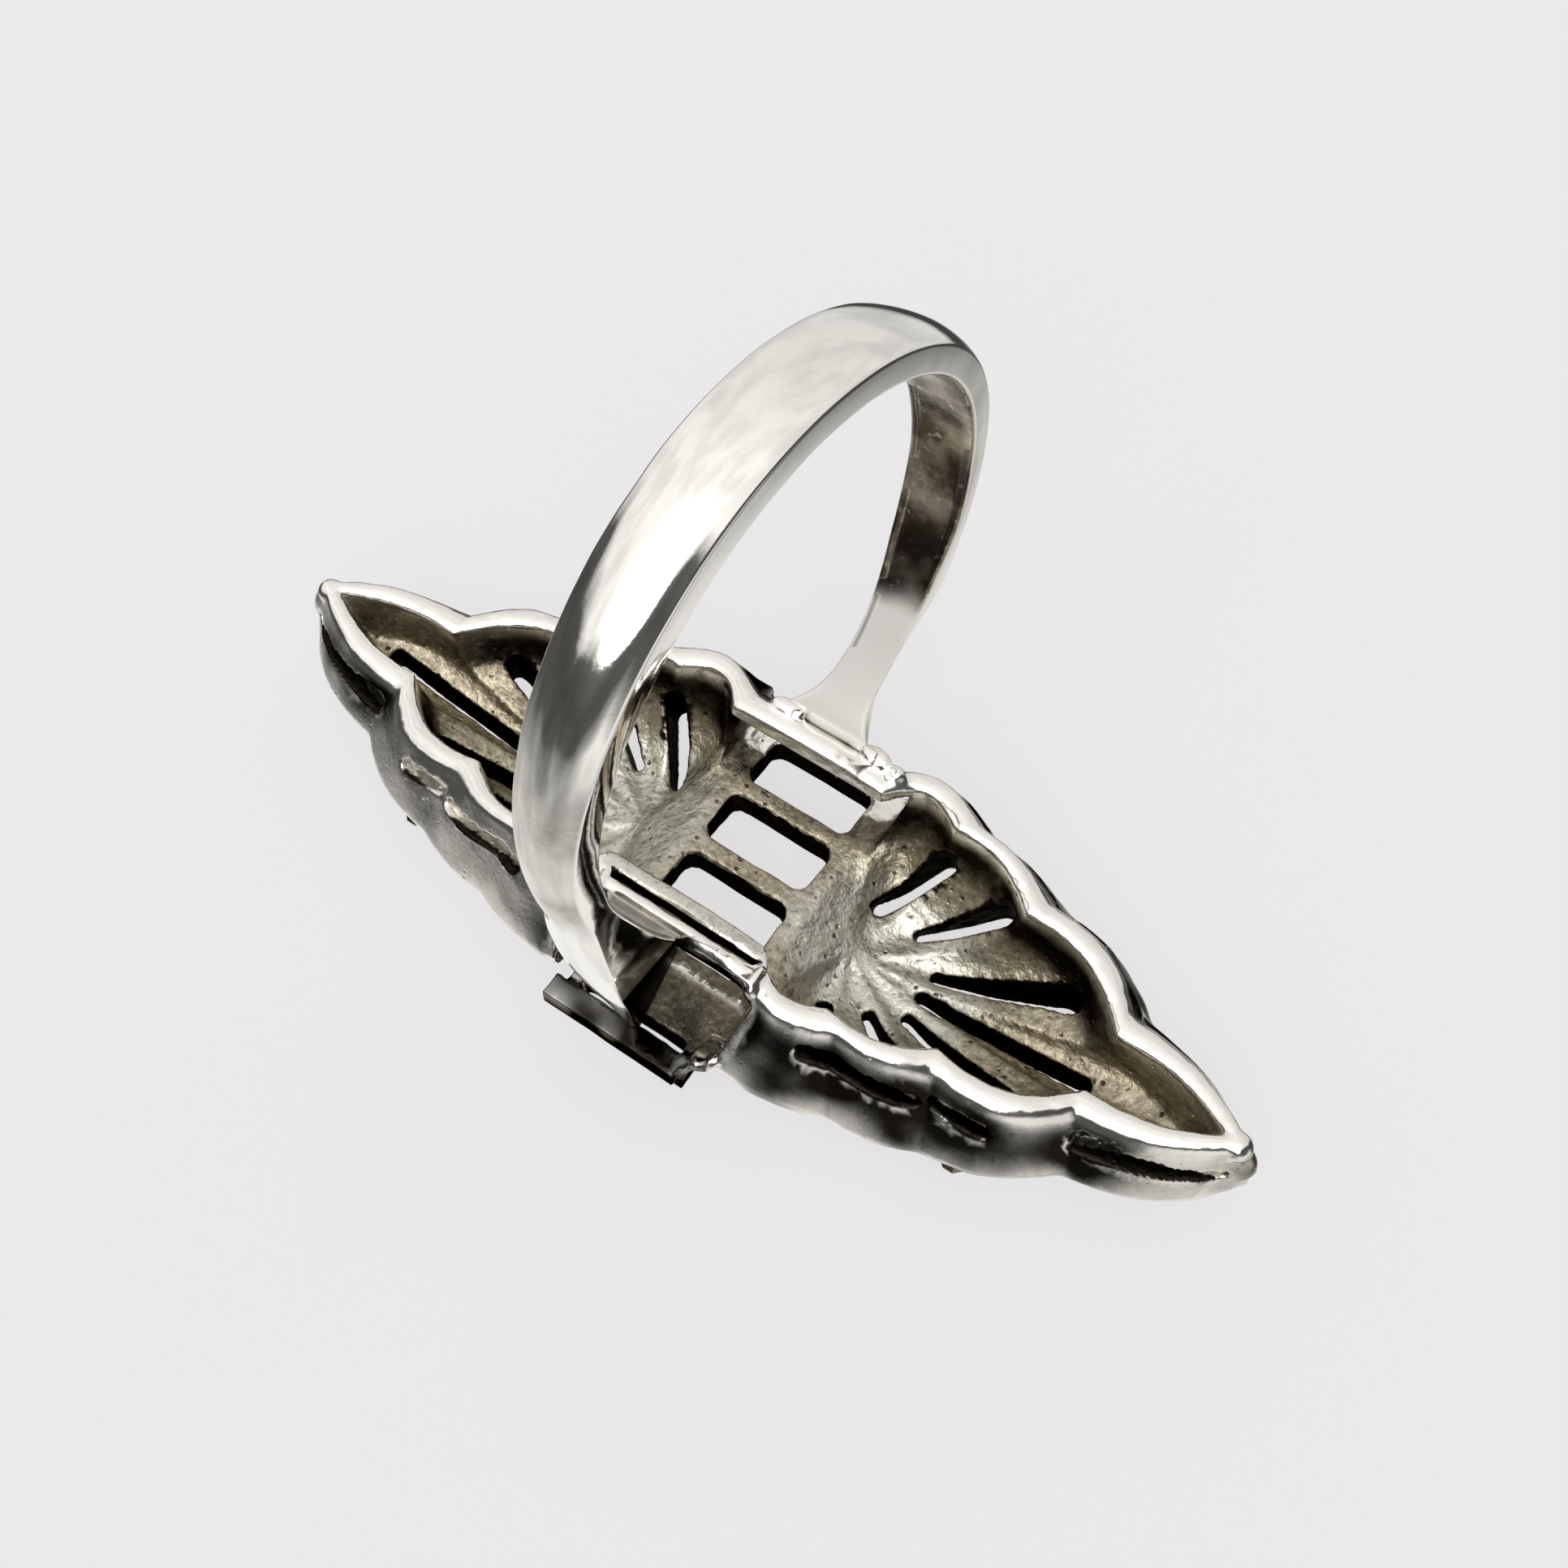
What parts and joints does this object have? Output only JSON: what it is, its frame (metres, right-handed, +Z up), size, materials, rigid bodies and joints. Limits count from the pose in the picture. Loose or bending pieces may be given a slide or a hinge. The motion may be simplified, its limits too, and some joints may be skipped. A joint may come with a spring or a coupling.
{
  "type": "marcasite ring",
  "caption": "Silver cocktail ring with a long pointed openwork plaque of fans and a cross strap, set with marcasites, lying face down with its plain domed shank up",
  "frame": {"origin": "on the surface that the ring lies on, below the middle of the plaque in X and below the centre of the shank in Y", "axes": "+X along the plaque to one tip, +Y across the plaque, along the finger hole's width, +Z up from the face-down plaque to the top of the shank"},
  "size_m": [0.0382, 0.0196, 0.0258],
  "materials": {
    "silver": "polished outside, oxidised in the recesses",
    "marcasite": "faceted, metallic lustre"
  },
  "bodies": {
    "root": {"silver_ring": "silver", "marcasites": "marcasite"}
  },
  "joints": []
}
